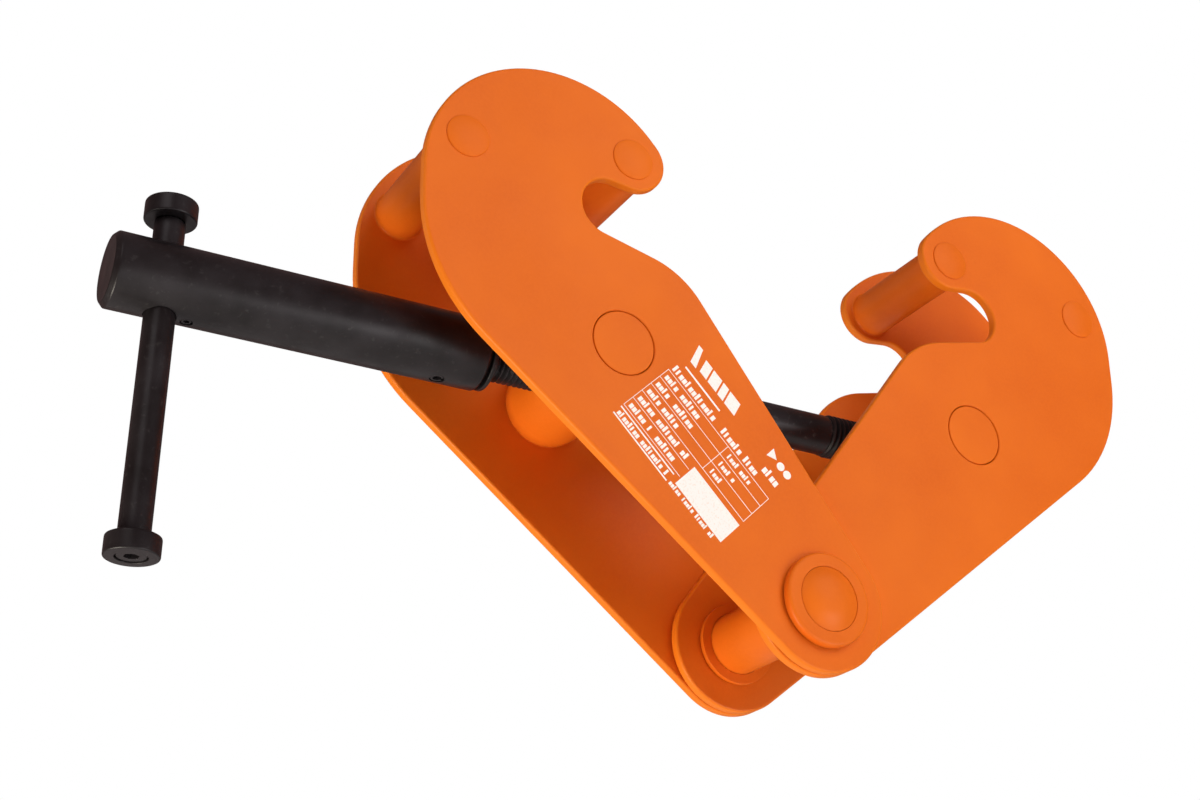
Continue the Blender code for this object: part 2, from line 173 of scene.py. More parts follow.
def orange_coat():
    """Satin powder coat: fine orange peel, faint drift in tone, and a painted highlight that tints
    the plates' rounded edges lighter and yellower.
    """
    made, tree, shader = new_finish("orange_powder_coat")
    rim = node(tree, "Attribute")
    rim.attribute_name = "rim"
    drift = between(tree, grain(tree, 22.0, 3.0), 0.30, 0.70, 0.0, 1.0)
    flecks = between(tree, grain(tree, 900.0, 2.0), 0.35, 0.75, 0.0, 0.35)
    tone = tinted(tree, drift, ORANGE_DEEP, ORANGE_BRIGHT)
    tone = tinted(tree, flecks, tone, ORANGE_BRIGHT)
    # painted highlight: the rim layer tints the plates' rounded edges lighter and yellower
    tone = tinted(tree, times(tree, rim.outputs["Fac"], 0.55), tone, ORANGE_EDGE_HIGHLIGHT)
    tree.links.new(tone, shader["Base Color"])
    patches = between(tree, grain(tree, 45.0, 4.0), 0.30, 0.70, 0.36, 0.47)
    tree.links.new(patches, shader["Roughness"])
    cut_lines = times(tree, grain(tree, CUT_LINES[0], 1.0, (1.0, 0.03, 1.0)), rim.outputs["Fac"])
    relief = bumped(tree, cut_lines, CUT_LINES[1])
    relief = bumped(tree, grain(tree, SAG[0], 1.0), SAG[1], relief)
    relief = bumped(tree, grain(tree, PEEL[0], 1.5), PEEL[1], relief)
    tree.links.new(relief, shader["Normal"])
    shader["Specular IOR Level"].default_value = COAT_SPECULAR
    shader["Coat Weight"].default_value = COAT_GLOSS
    shader["Coat Roughness"].default_value = COAT_GLOSS_ROUGHNESS
    return made


ORANGE = orange_coat()


def add(name, shape, place, finish=None):
    """Puts a finished bmesh in the scene as an object."""
    bmesh.ops.recalc_face_normals(shape, faces=shape.faces)
    mesh = bpy.data.meshes.new(name)
    shape.to_mesh(mesh)
    shape.free()
    if finish:
        mesh.materials.append(finish)
    piece = bpy.data.objects.new(name, mesh)
    bpy.context.scene.collection.objects.link(piece)
    piece.matrix_world = place
    return piece


def settle(piece):
    """Moves a jaw piece's place into its mesh, so that its box is measured square to the world."""
    piece.data.transform(piece.matrix_world)
    piece.matrix_world = Matrix()
    return piece


def shade(piece):
    """Smooth shading that keeps true corners crisp and flats flat."""
    piece.data.shade_smooth()
    piece.data.set_sharp_from_angle(angle=CRISP_CORNER)
    flats = piece.modifiers.new("flats", "WEIGHTED_NORMAL")
    flats.keep_sharp = True
    return piece


def outline(inset):
    """The plate's outline, the given distance inside its edge, by arcs and common tangents."""
    circles = [(x, y, r - inset) for x, y, r in OUTLINE]
    following = circles[1:] + circles[:1]
    normals = []
    for (x1, y1, r1), (x2, y2, r2) in zip(circles, following):
        along = atan2(y2 - y1, x2 - x1)
        normals.append(along - acos((r1 - r2) / hypot(x2 - x1, y2 - y1)))
    points = []
    for i, (x, y, r) in enumerate(circles):
        sweep = (normals[i] - normals[i - 1]) % (2.0 * pi)
        if r < 0.0:
            sweep -= 2.0 * pi
        parts = max(2, ceil(abs(sweep) / OUTLINE_STEP))
        for k in range(parts + 1):
            angle = normals[i - 1] + sweep * k / parts
            points.append((x + r * cos(angle), y + r * sin(angle)))
    return points


def circle(x, y, r, sides):
    angles = [2.0 * pi * k / sides for k in range(sides)]
    return [(x + r * cos(angle), y + r * sin(angle)) for angle in angles]


def walled(shape, levels):
    """Loops of points at their heights, joined by walls; returns the first and last loop's edges."""
    loops = [[shape.verts.new((x, y, height)) for x, y in points] for points, height in levels]
    for upper, lower in zip(loops, loops[1:]):
        for k in range(len(upper)):
            shape.faces.new((upper[k - 1], upper[k], lower[k], lower[k - 1]))
    return loops, [[shape.edges.get((loop[k - 1], loop[k])) for k in range(len(loop))]
                   for loop in (loops[0], loops[-1])]


def side_plate(name, side, cad_node):
    """One plate with rounded edges; the rim layer marks its edge for the coat's painted edge
    highlight and its cut lines.
    """
    low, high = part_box(cad_node)
    half = (high.y - low.y) / 2.0
    place = jaw_frame(side)
    height = (place.inverted() @ Vector((0.0, (low.y + high.y) / 2.0, 0.0))).z
    shape = bmesh.new()
    rim = shape.verts.layers.float.new("rim")
    turn = [pi / 2.0 * k / EDGE_STEPS for k in range(EDGE_STEPS + 1)]
    edge = [(EDGE_ROUND * (1.0 - sin(a)), half - EDGE_ROUND * (1.0 - cos(a))) for a in turn]
    edge += [(inset, -h) for inset, h in reversed(edge)]
    loops, ends = walled(shape, [(outline(inset), h) for inset, h in edge])
    for (inset, _), loop in zip(edge, loops):
        for vert in loop:
            vert[rim] = 1.0 - inset / EDGE_ROUND
    bores = ((0.0, 0.0, PIN_HOLE_R), (0.0, ARM, TRUNNION_HOLE_R),
             (*TIP_BAR, BAR_HOLE_R), (*HEEL_BAR, BAR_HOLE_R))
    for x, y, r in bores:
        mouth = circle(x, y, r + HOLE_MOUTH, HOLE_SIDES)
        wall = circle(x, y, r, HOLE_SIDES)
        _, rims = walled(shape, [(mouth, half), (wall, half - HOLE_MOUTH),
                                 (wall, HOLE_MOUTH - half), (mouth, -half)])
        ends = [face + more for face, more in zip(ends, rims)]
    for edges in ends:
        bmesh.ops.triangle_fill(shape, edges=edges, use_beauty=True)
    piece = shade(settle(add(name, shape, place @ Matrix.Translation((0.0, 0.0, height)), ORANGE)))
    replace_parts(piece, cad_node)
    return piece


for jaw, side in (("outer_jaw", -1.0), ("inner_jaw", 1.0)):
    for face in ("front", "back"):
        plate = side_plate(f"{jaw}_{face}_side_plate", side, f"{jaw}_{face}_plate")
        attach(plate, jaw)


# ------------------------------------------------------------------ rating label
# A white label is screen-printed on the outer front plate below the trunnion.  It has a maker's
# strip, a table of ruled rows and a blank field for stamping, all in plain bars and dashes.

FRONT = -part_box("outer_jaw_front_plate")[0].y
INK_PROUD = 0.04 * MM
INK_SUNK = 0.02 * MM
LABEL_TOP = -25.5 * MM            # the top line's place across the plate, outwards from the arm
LABEL_START = 93.5 * MM           # where the lines start along the arm; they run towards the pin
STRIP_WEDGE = ((0.0, 0.0), (2.2 * MM, 0.0), (5.6 * MM, 7.6 * MM), (2.6 * MM, 7.6 * MM))
STRIP_BLOCKS = ((7.2, 3.6), (11.6, 4.6), (17.0, 3.0), (20.8, 5.6))     # along, length, in mm
STRIP_DOWN = 1.6 * MM
STRIP_DEPTH = 5.4 * MM
STRIP_LEAN = -1.6 * MM
TITLE_DOWN = 13.2 * MM
TITLE_DEPTH = 3.0 * MM
ROW = 4.85 * MM
RULE = 0.20 * MM
TABLE_TOP = 17.2 * MM
TABLE_ROWS = 5
TABLE_WIDTH = 55.5 * MM
COLUMN = 33.0 * MM
ROW_PRINT = ((7.0, 10.5), (8.0, 11.0), (6.5, 9.0), (8.5, 17.0), (12.5, 10.0))      # lengths, in mm
ROW_PRINT_DEPTH = 2.8 * MM
COLUMN_PRINT = (13.0, 9.0, 6.0)
COLUMN_PRINT_DEPTH = 2.3 * MM
NOTE_LENGTH = 28.5 * MM
NOTE_RULE = 0.55 * MM
BADGE_R = 1.6 * MM
FIELD = (31.0 * MM, 34.2 * MM, 24.5 * MM, 10.6 * MM)      # along, down, length, depth
INK = (0.95, 0.92, 0.86)
INK_THIN = (0.86, 0.52, 0.32)
# Each kind of small block in a line of print: share of the line's depth, share of the pitch.
TYPE_BLOCKS = ((1.0, 0.62), (0.70, 0.84), (0.70, 0.84), (0.86, 0.50),
               (0.70, 0.80), (1.0, 0.46), (0.70, 0.86))
TYPE_PITCH = 0.58                 # share of the line's depth


def white_ink():
    """Screen ink: matt off-white, thin enough in specks for the orange to warm it."""
    made, tree, shader = new_finish("white_screen_ink")
    thin = between(tree, grain(tree, 1400.0, 3.0), 0.54, 0.80, 0.0, 0.5)
    tree.links.new(tinted(tree, thin, INK, INK_THIN), shader["Base Color"])
    tree.links.new(between(tree, grain(tree, 300.0), 0.3, 0.7, 0.50, 0.62), shader["Roughness"])
    tree.links.new(bumped(tree, grain(tree, 1600.0, 2.0), 0.008 * MM), shader["Normal"])
    shader["Specular IOR Level"].default_value = COAT_SPECULAR
    return made


def printed(shape, corners):
    """One closed film of ink: corners are (along, down) from the label's upper left."""
    spots = [(LABEL_TOP + down, LABEL_START - along) for along, down in corners]
    loops, _ = walled(shape, [(spots, -FRONT - INK_PROUD), (spots, INK_SUNK - FRONT)])
    for loop in loops:
        shape.faces.new(loop)


def bar(shape, along, down, length, depth, lean=0.0):
    """A plain bar of ink; lean shifts its upper edge along."""
    printed(shape, ((along + lean, down), (along + lean + length, down),
                    (along + length, down + depth), (along, down + depth)))


def dashes(shape, along, down, length, depth, word=6):
    """A row of small blocks, broken into words, where a label has a line of print."""
    pitch = TYPE_PITCH * depth
    for k in range(int(length / pitch)):
        if k % word == word - 1:
            continue
        tall, wide = TYPE_BLOCKS[(3 * k + word) % len(TYPE_BLOCKS)]
        bar(shape, along + k * pitch, down + (1.0 - tall) * depth, wide * pitch, tall * depth)


def maker_strip(shape):
    """A plain wedge and a broken bar over a rule stand where the maker's strip is."""
    printed(shape, STRIP_WEDGE)
    for along, length in STRIP_BLOCKS:
        bar(shape, along * MM, STRIP_DOWN, length * MM, STRIP_DEPTH, STRIP_LEAN)
    bar(shape, 3.0 * MM, 10.4 * MM, 19.0 * MM, 0.7 * MM)


def table(shape):
    """Ruled rows with print in them; the rules stop short of the blank field."""
    field_along, field_down, _, _ = FIELD
    bar(shape, *FIELD)
    for k in range(TABLE_ROWS + 1):
        down = TABLE_TOP + k * ROW
        bar(shape, 0.0, down, TABLE_WIDTH if down < field_down else field_along - 0.6 * MM, RULE)
    top = TABLE_TOP + RULE
    bar(shape, 0.0, top, RULE, TABLE_ROWS * ROW - RULE)
    for along in (COLUMN, TABLE_WIDTH - RULE):
        for k in range(3):
            bar(shape, along, top + k * ROW, RULE, ROW - RULE)
    for k, (first, second) in enumerate(ROW_PRINT):
        down = TABLE_TOP + k * ROW + 1.1 * MM
        dashes(shape, 1.4 * MM, down, first * MM, ROW_PRINT_DEPTH, 6)
        dashes(shape, 2.8 * MM + first * MM, down, second * MM, ROW_PRINT_DEPTH, 8)
    for k, length in enumerate(COLUMN_PRINT):
        down = TABLE_TOP + k * ROW + 1.3 * MM
        dashes(shape, COLUMN + 2.5 * MM, down, length * MM, COLUMN_PRINT_DEPTH, 5)


def label():
    """The whole print as one piece of ink on the plate."""
    shape = bmesh.new()
    maker_strip(shape)
    dashes(shape, 0.8 * MM, TITLE_DOWN, 25.0 * MM, TITLE_DEPTH, 14)
    dashes(shape, 27.5 * MM, TITLE_DOWN, 20.0 * MM, TITLE_DEPTH, 7)
    table(shape)
    notes = TABLE_TOP + TABLE_ROWS * ROW + 1.2 * MM
    for down in (notes, notes + 4.0 * MM):
        bar(shape, 0.0, down, NOTE_LENGTH, NOTE_RULE)
    dashes(shape, 0.8 * MM, notes + 1.1 * MM, 27.0 * MM, 2.4 * MM, 9)
    dashes(shape, 29.5 * MM, notes + 2.4 * MM, 24.0 * MM, 2.0 * MM, 6)
    printed(shape, circle(45.0 * MM, 4.0 * MM, 2.5 * MM, 3))
    for along in (50.0 * MM, 53.6 * MM):
        printed(shape, circle(along, 4.4 * MM, BADGE_R, 24))
    dashes(shape, 46.5 * MM, 8.8 * MM, 9.0 * MM, 3.4 * MM, 9)
    return settle(add("rating_label", shape, jaw_frame(-1.0), white_ink()))


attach(label(), "outer_jaw")


# ------------------------------------------------------------------ cross bars
# Two round steel bars tie each pair of plates, one at the hook's tip and one at its heel.  Each is
# full size between the plates, reduced to pass through them, and riveted over outside.  The coat
# fills the seam at both ends of the full-size part.

BAR_R = 9.0 * MM
BAR_NECK_R = 7.2 * MM
BAR_HEAD_R = 7.9 * MM
BAR_DOME = 1.3 * MM
BAR_STEP = 0.4 * MM               # height of the riveted head's rim
BAR_FILLET = 0.9 * MM             # the coat's bead in the seam inside
EASE_STEPS = 4
ON_AXIS = 1e-7                    # a profile point nearer than this is on the axis itself
FINE_SIDES = 72


def eased(points):
    """Rounds a profile's corners: each point is (radius, height, set-back), and 0 leaves it sharp."""
    done = []
    for i, (r, h, back) in enumerate(points):
        corner = Vector((r, h))
        if not back:
            done.append(corner)
            continue
        before = Vector(points[i - 1][:2])
        after = Vector(points[(i + 1) % len(points)][:2])
        start = corner + (before - corner).normalized() * back
        end = corner + (after - corner).normalized() * back
        for k in range(EASE_STEPS + 1):
            t = k / EASE_STEPS
            done.append(start * (1.0 - t) ** 2 + corner * 2.0 * t * (1.0 - t) + end * t * t)
    return [tuple(point) for point in done]


def lathe(shape, profile, sides=FINE_SIDES, closed=False):
    """Lathe work about the local Z from a profile of (radius, height) points."""
    loops = []
    for r, h in profile:
        if r < ON_AXIS:
            loops.append([shape.verts.new((0.0, 0.0, h))] * sides)
        else:
            loops.append([shape.verts.new((x, y, h)) for x, y in circle(0.0, 0.0, r, sides)])
    pairs = list(zip(loops, loops[1:]))
    if closed:
        pairs.append((loops[-1], loops[0]))
    for upper, lower in pairs:
        for k in range(sides):
            corners = dict.fromkeys((upper[k - 1], upper[k], lower[k], lower[k - 1]))
            shape.faces.new(tuple(corners))


def turned(name, profile, place, finish, sides=FINE_SIDES, closed=False):
    """A turned piece; a closed profile makes a ring."""
    shape = bmesh.new()
    lathe(shape, profile, sides, closed)
    return add(name, shape, place, finish)


def both_ends(half):
    """A profile that is the same at both ends, from the points of its upper half."""
    return half + [(r, -h) for r, h in reversed(half)]


def cross_bar(jaw, side, spot, centre):
    """One bar, from the riveted head outside, over the neck, to the full size and its bead."""
    low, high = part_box(f"{jaw}_front_plate")
    face, inside = -low.y, -high.y
    half = eased([
        (0.0, face + BAR_DOME, 0.0),
        (0.62 * BAR_HEAD_R, face + 0.82 * BAR_DOME, 2.2 * MM),
        (BAR_HEAD_R, face + BAR_STEP, 0.25 * MM),
        (BAR_HEAD_R, face - 0.05 * MM, 0.0),
        (BAR_NECK_R, face - 0.6 * MM, 0.0),
        (BAR_NECK_R, inside + 0.5 * MM, 0.0),
        (BAR_R + BAR_FILLET, inside + 0.03 * MM, 0.0),
        (BAR_R + 0.25 * BAR_FILLET, inside - 0.25 * BAR_FILLET, 0.2 * MM),
        (BAR_R, inside - BAR_FILLET, 0.0),
    ])
    place = jaw_frame(side) @ Matrix.Translation((*centre, 0.0))
    piece = settle(turned(f"{jaw}_{spot}_crossbar", both_ends(half), place, ORANGE))
    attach(shade(piece), jaw)
    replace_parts(piece, f"{jaw}_{spot}_bar")


for jaw, side in (("outer_jaw", -1.0), ("inner_jaw", 1.0)):
    for spot, centre in (("tip", TIP_BAR), ("heel", HEEL_BAR)):
        cross_bar(jaw, side, spot, centre)


# ------------------------------------------------------------------ load pin
# One solid steel pin joins all four plates and carries the hoist's hook.  A washer lies on each
# outer plate and the pin's ends are closed over them; a thin ring inside keeps the hook off the
# inner plates.  All of it is under the same orange coat.

PIN_R = 11.2 * MM
PIN_DOME = 3.0 * MM
PIN_DOME_STEPS = 12
PIN_DOME_POWER = 2.6            # 2 is a ball, more is flatter with a rounder rim
WASHER_R = 16.4 * MM
RING_BORE_R = 11.35 * MM
WASHER_EASE = 1.5 * MM
SPACER_R = 14.8 * MM
SPACER_EASE = 0.35 * MM
TO_FRONT = Matrix.Rotation(pi / 2.0, 4, "X")     # local Z -> world -Y
TO_BACK = Matrix.Rotation(-pi / 2.0, 4, "X")     # local Z -> world +Y


def load_pin():
    """The pin from end to end, with a low dome on each."""
    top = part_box("load_pin")[1].y
    shares = [k / PIN_DOME_STEPS for k in range(PIN_DOME_STEPS + 1)]
    half = [(PIN_R * share, top - PIN_DOME * share ** PIN_DOME_POWER) for share in shares]
    piece = shade(turned("load_pin_riveted", both_ends(half), TO_BACK, ORANGE))
    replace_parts(piece, "load_pin")
    return piece


def flat_ring(name, cad_node, place, axis, bore, rim, ease, finish, sides=FINE_SIDES):
    """A washer-like ring that fills its CAD node's length along the axis (0 for X, 1 for Y)."""
    low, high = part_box(cad_node)
    near, far = sorted((abs(low[axis]), abs(high[axis])))
    profile = eased([(bore, far, 0.15 * MM), (rim, far, ease),
                     (rim, near, 0.2 * MM), (bore, near, 0.0)])
    piece = shade(turned(name, profile, place, finish, sides, closed=True))
    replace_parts(piece, cad_node)
    return piece


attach(load_pin(), "load_pin")
for end, turn in (("front", TO_FRONT), ("back", TO_BACK)):
    washer = flat_ring(f"pin_washer_{end}", f"pivot_washer_{end}", turn, 1, RING_BORE_R, WASHER_R,
                       WASHER_EASE, ORANGE)
    spacer = flat_ring(f"pin_spacer_{end}", f"spacer_ring_{end}", turn, 1, RING_BORE_R, SPACER_R,
                       SPACER_EASE, ORANGE)
    for ring in (washer, spacer):
        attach(ring, "load_pin")


# ------------------------------------------------------------------ trunnions
# Two round steel barrels, one in each jaw, cross-drilled and tapped for the spindle.  Their ends
# are turned down to run in the plates and stop flush with the outer faces, where the coat leaves
# a thin ring-shaped seam.

BARREL_R = 16.0 * MM
JOURNAL_R = 11.6 * MM
JOURNAL_EASE = 0.45 * MM
BARREL_EASE = 0.8 * MM
TAPPED_R = 8.3 * MM
TAPPED_EASE = 0.5 * MM
FLUSH = 0.06 * MM                 # the journals stop this far short of the plates' faces
SHOULDER_GAP = 0.25 * MM          # play between a barrel's shoulder and the plate
BARREL_STEP = 3.0 * MM
MOUTH_CORNER = radians(40.0)      # edges sharper than this are eased where a hole is drilled
MOUTH_STEPS = 2


def drill(piece, holes, ease):
    """Cuts straight holes and eases their mouths: each is (place, radius, half length, sides)."""
    tools = []
    for place, radius, half, sides in holes:
        shape = bmesh.new()
        bmesh.ops.create_cone(shape, cap_ends=True, segments=sides, radius1=radius, radius2=radius,
                              depth=2.0 * half)
        tools.append(add("drill", shape, place))
        step = piece.modifiers.new("bored", "BOOLEAN")
        step.operation = "DIFFERENCE"
        step.solver = "EXACT"
        step.object = tools[-1]
    mouths = piece.modifiers.new("mouths", "BEVEL")
    mouths.width = ease
    mouths.segments = MOUTH_STEPS
    mouths.limit_method = "ANGLE"
    mouths.angle_limit = MOUTH_CORNER
    graph = bpy.context.evaluated_depsgraph_get()
    graph.update()
    mesh = bpy.data.meshes.new_from_object(piece.evaluated_get(graph))
    piece.modifiers.clear()
    piece.data = mesh
    for tool in tools:
        bpy.data.objects.remove(tool, do_unlink=True)
    return piece


def lengths(low, high, step):
    """Evenly spaced places from low to high, both included."""
    parts = max(1, round(abs(high - low) / step))
    return [low + (high - low) * k / parts for k in range(parts + 1)]


def trunnion(jaw, cad_node):
    """A barrel that fills the space between the jaw's plates, with a journal at each end."""
    low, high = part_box(cad_node)
    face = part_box(f"{jaw}_back_plate")[1].y - FLUSH
    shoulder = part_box(f"{jaw}_back_plate")[0].y - SHOULDER_GAP
    half = eased([(0.0, face, 0.0), (JOURNAL_R, face, JOURNAL_EASE), (JOURNAL_R, shoulder, 0.0),
                  (BARREL_R, shoulder, BARREL_EASE)])
    half += [(BARREL_R, h) for h in lengths(shoulder - BARREL_EASE, 0.0, BARREL_STEP)[1:-1]]
    centre = (low + high) / 2.0
    place = Matrix.Translation((centre.x, 0.0, centre.z))
    piece = turned(f"{cad_node}_barrel", both_ends(half), place @ TO_BACK, ORANGE)
    bore = place @ Matrix.Rotation(pi / 2.0, 4, "Y")
    shade(drill(piece, [(bore, TAPPED_R, 2.0 * BARREL_R, FINE_SIDES)], TAPPED_EASE))
    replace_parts(piece, cad_node)
    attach(piece, cad_node)


trunnion("outer_jaw", "outer_trunnion")
trunnion("inner_jaw", "inner_trunnion")


# ------------------------------------------------------------------ spindle rod
# A 16 mm steel rod with a right-hand thread through one trunnion and a left-hand thread through
# the other, so turning it moves both jaws together.  It is turned and thread-rolled bar, chemically
# blackened and oiled; the rod's finish shows its rubbed specks more strongly than the other black
# parts.

THREAD_R = 8.0 * MM
ROOT_R = 6.8 * MM
SHANK_R = 7.4 * MM
PITCH = 2.0 * MM
CREST = 0.30 * MM                 # width of the flat on each crest
ROOT_FLAT = 0.18 * MM
THREAD_NEAR = 25.0 * MM           # both threads start this far from the middle
THREAD_FAR = 112.0 * MM
TURN_STEPS = 48
FADE_TURNS = 1.25                 # turns over which a thread runs out
ROD_EASE = 0.9 * MM
RUNOUT = 1.0 * MM                 # length of the cone between the shank and a thread's root
RUNOUT_EASE = 0.3 * MM
AXIS = Matrix.Translation((0.0, 0.0, INNER_TRUNNION.z)) @ Matrix.Rotation(pi / 2.0, 4, "Y")

BLACK_DEEP = (0.0105, 0.0082, 0.0088)
BLACK_WORN = (0.0240, 0.0205, 0.0225)
BLACK_RUBBED = (0.085, 0.080, 0.078)
LATHE_RINGS = (55.0, 0.010 * MM)  # waves per metre before the stretch, depth
RING_STRETCH = (1.0, 1.0, 60.0)   # crowds them together along the rod
OXIDE_GRIT = (900.0, 0.008 * MM)
BLACK_METAL = 0.35
BLACK_SPECULAR = 0.42


def black_oxide(name, wear):
    """Oiled black oxide over turned steel: fine lathe rings, patchy sheen, a few rubbed specks."""
    made, tree, shader = new_finish(name)
    patches = between(tree, grain(tree, 70.0, 4.0), 0.32, 0.70, 0.0, 1.0)
    tone = tinted(tree, patches, BLACK_DEEP, BLACK_WORN)
    rubbed = between(tree, grain(tree, 520.0, 5.0), 0.60, 0.74, 0.0, wear)
    tone = tinted(tree, rubbed, tone, BLACK_RUBBED)
    tree.links.new(tone, shader["Base Color"])
    sheen = between(tree, grain(tree, 120.0, 3.0), 0.30, 0.70, 0.30, 0.44)
    tree.links.new(sheen, shader["Roughness"])
    rings = grain(tree, LATHE_RINGS[0], 2.0, RING_STRETCH)
    relief = bumped(tree, rings, LATHE_RINGS[1])
    relief = bumped(tree, grain(tree, OXIDE_GRIT[0], 2.0), OXIDE_GRIT[1], relief)
    tree.links.new(relief, shader["Normal"])
    shader["Metallic"].default_value = BLACK_METAL
    shader["Specular IOR Level"].default_value = BLACK_SPECULAR
    return made


THREAD_BLACK = black_oxide("blackened_thread", 0.55)
BLACK = black_oxide("blackened_steel", 0.22)


def ridge(shape, start, hand):
    """Adds one closed helical thread ridge that fades out at both ends; hand is 1 or -1."""
    turns = (THREAD_FAR - THREAD_NEAR) / PITCH
    count = round(turns * TURN_STEPS)
    foot = ROOT_R - 0.15 * MM
    half_foot = (PITCH - ROOT_FLAT) / 2.0
    sections = []
    for k in range(count + 1):
        angle = hand * 2.0 * pi * k / TURN_STEPS
        here = start + PITCH * k / TURN_STEPS
        fade = min(1.0, (k + 1.0) / TURN_STEPS / FADE_TURNS,
                   (count - k + 1.0) / TURN_STEPS / FADE_TURNS)
        crest = foot + (THREAD_R - foot) * fade
        corners = ((foot, -half_foot), (crest, -CREST / 2.0), (crest, CREST / 2.0), (foot, half_foot))
        sections.append([shape.verts.new((r * cos(angle), r * sin(angle), here + along))
                         for r, along in corners])
    for before, after in zip(sections, sections[1:]):
        for k in range(len(before)):
            shape.faces.new((before[k - 1], before[k], after[k], after[k - 1]))
    shape.faces.new(sections[0])
    shape.faces.new(sections[-1])


def rod_profile():
    """Shank, thread root, plain middle, thread root and shank, from the right end to the left."""
    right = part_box("spindle_rod")[1].x
    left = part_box("spindle_rod")[0].x
    near = THREAD_NEAR + RUNOUT
    far = THREAD_FAR - RUNOUT
    points = [(0.0, right, 0.0), (SHANK_R, right, ROD_EASE), (SHANK_R, far, RUNOUT_EASE),
              (ROOT_R, far - RUNOUT, RUNOUT_EASE), (ROOT_R, near + RUNOUT, RUNOUT_EASE),
              (SHANK_R, near, RUNOUT_EASE), (SHANK_R, -near, RUNOUT_EASE),
              (ROOT_R, -near - RUNOUT, RUNOUT_EASE), (ROOT_R, RUNOUT - far, RUNOUT_EASE),
              (SHANK_R, -far, RUNOUT_EASE), (SHANK_R, left, ROD_EASE), (0.0, left, 0.0)]
    return eased(points)


def spindle_rod():
    """The rod with its two pin holes, and a thread ridge on each half."""
    piece = turned("threaded_spindle", rod_profile(), AXIS, THREAD_BLACK)
    holes = []
    for cad_node in ("stop_pin", "roll_pin"):
        low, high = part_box(cad_node)
        radius = (high.x - low.x) / 2.0 + 0.1 * MM
        holes.append((Matrix.Translation(middle_of(cad_node)), radius, 2.0 * SHANK_R, 32))
    drill(piece, holes, 0.2 * MM)
    shape = bmesh.new()
    shape.from_mesh(piece.data)
    ridge(shape, -THREAD_FAR, 1.0)
    ridge(shape, THREAD_NEAR, -1.0)
    bmesh.ops.recalc_face_normals(shape, faces=shape.faces)
    shape.to_mesh(piece.data)
    shape.free()
    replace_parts(shade(piece), "spindle_rod")
    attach(piece, "spindle")


spindle_rod()


# ------------------------------------------------------------------ handle sleeve
# A bored steel sleeve lengthens the spindle to the handle, held to the rod by a slotted spring pin
# through both.  Its far end is solid and cross-drilled for the tommy bar, and a small grub screw in
# the underside bears on the bar so that it stays where it is pushed.

SLEEVE_R = 12.5 * MM
SLEEVE_EASE = 1.6 * MM
SLEEVE_STEP = 3.2 * MM
SLEEVE_CORNER = 0.35 * MM         # softening of the chamfers' corners
BORE_CHAMFER = 0.6 * MM
SPRING_PIN_BORE = 0.6             # share of the spring pin's radius
SPRING_PIN_SLOT = radians(34.0)
SPRING_PIN_EASE = 0.35 * MM
SPRING_PIN_STEPS = 30


def sleeve():
    """A blind-bored barrel with holes for the tommy bar, the spring pin and the grub screw."""
    low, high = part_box("spindle_sleeve")
    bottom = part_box("spindle_rod")[0].x - 0.3 * MM
    bore = SHANK_R + 0.2 * MM
    chamfer = SLEEVE_R - SLEEVE_EASE
    points = [(0.0, bottom, 0.0), (bore, bottom, 0.0), (bore, high.x - BORE_CHAMFER, 0.0),
              (bore + BORE_CHAMFER, high.x, 0.0), (chamfer, high.x, SLEEVE_CORNER),
              (SLEEVE_R, high.x - SLEEVE_EASE, SLEEVE_CORNER)]
    barrel = lengths(high.x - 2.0 * SLEEVE_EASE, low.x + 2.0 * SLEEVE_EASE, SLEEVE_STEP)
    points += [(SLEEVE_R, x, 0.0) for x in barrel]
    points += [(SLEEVE_R, low.x + SLEEVE_EASE, SLEEVE_CORNER), (chamfer, low.x, SLEEVE_CORNER),
               (0.0, low.x, 0.0)]
    piece = turned("handle_sleeve", eased(points), AXIS, BLACK)
    holes = []
    for cad_node, slack in (("tommy_bar", 0.25 * MM), ("roll_pin", 0.08 * MM)):
        cad_low, cad_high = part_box(cad_node)
        centre = Vector(((cad_low.x + cad_high.x) / 2.0, 0.0, INNER_TRUNNION.z))
        radius = (cad_high.x - cad_low.x) / 2.0 + slack
        holes.append((Matrix.Translation(centre), radius, 2.0 * SLEEVE_R, 40))
    cad_low, cad_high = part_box("grub_screw")
    mouth = Vector(((cad_low.x + cad_high.x) / 2.0, 0.0, cad_low.z - 1.0 * MM))
    depth = cad_high.z - cad_low.z + 1.6 * MM
    holes.append((Matrix.Translation(mouth), (cad_high.x - cad_low.x) / 2.0 + 0.1 * MM, depth, 32))
    shade(drill(piece, holes, 0.35 * MM))
    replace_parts(piece, "spindle_sleeve")
    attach(piece, "spindle")


def spring_pin():
    """Rolled steel strip with an open slot along one side, its ends tapered to start the hole."""
    low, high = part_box("roll_pin")
    r = (high.x - low.x) / 2.0
    half = (high.z - low.z) / 2.0
    arc = [SPRING_PIN_SLOT / 2.0 + (2.0 * pi - SPRING_PIN_SLOT) * k / SPRING_PIN_STEPS
           for k in range(SPRING_PIN_STEPS + 1)]

    def section(outer):
        inner = SPRING_PIN_BORE * r
        return ([(outer * cos(a), outer * sin(a)) for a in arc]
                + [(inner * cos(a), inner * sin(a)) for a in reversed(arc)])

    shape = bmesh.new()
    nose = section(r - SPRING_PIN_EASE)
    loops, _ = walled(shape, [(nose, half), (section(r), half - SPRING_PIN_EASE),
                              (section(r), SPRING_PIN_EASE - half), (nose, -half)])
    shape.faces.new(loops[0])
    shape.faces.new(loops[-1])
    piece = shade(add("spring_pin", shape, Matrix.Translation((low + high) / 2.0), BLACK))
    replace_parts(piece, "roll_pin")
    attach(piece, "spindle")


